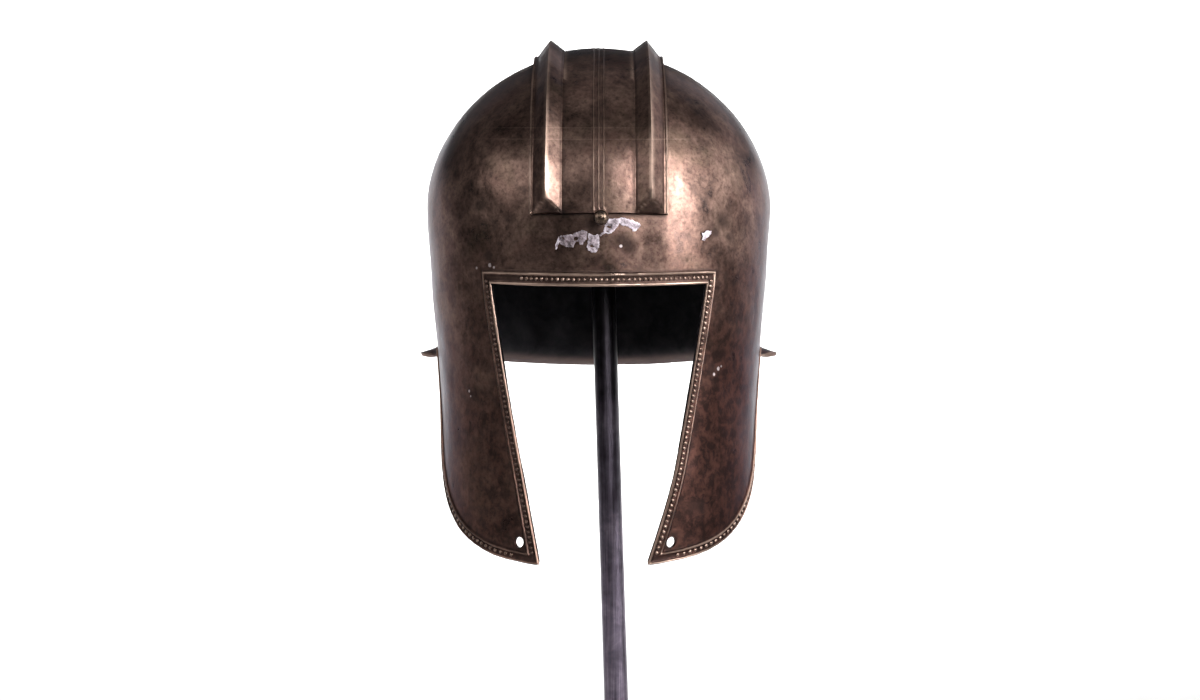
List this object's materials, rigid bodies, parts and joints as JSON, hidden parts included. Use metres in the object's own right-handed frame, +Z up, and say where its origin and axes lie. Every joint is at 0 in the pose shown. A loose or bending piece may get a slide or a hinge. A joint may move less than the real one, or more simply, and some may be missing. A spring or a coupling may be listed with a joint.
{
  "type": "illyrian helmet on a display stand",
  "caption": "Open-faced forged bronze helmet with fixed cheek-pieces, a flared neck guard and a raised ridged crest panel, carried on a leaning round post in a square plate.",
  "frame": {"origin": "on the underside of the stand's plate, straight below the middle plane of the helmet", "axes": "+Z up, -Y out of the face opening, +X to the left of a wearer"},
  "size_m": [0.2014, 0.2374, 0.4127],
  "materials": {
    "bronze_sheet": "dark brown patina, worn to a soft sheen",
    "bronze_knob": "brown patina, rubbed bright on top",
    "dark_steel": "blackened, satin"
  },
  "bodies": {
    "root": {"helmet_shell": "bronze_sheet", "crest_knob": "bronze_knob", "stand_post": "dark_steel", "stand_plate": "dark_steel"}
  },
  "joints": []
}
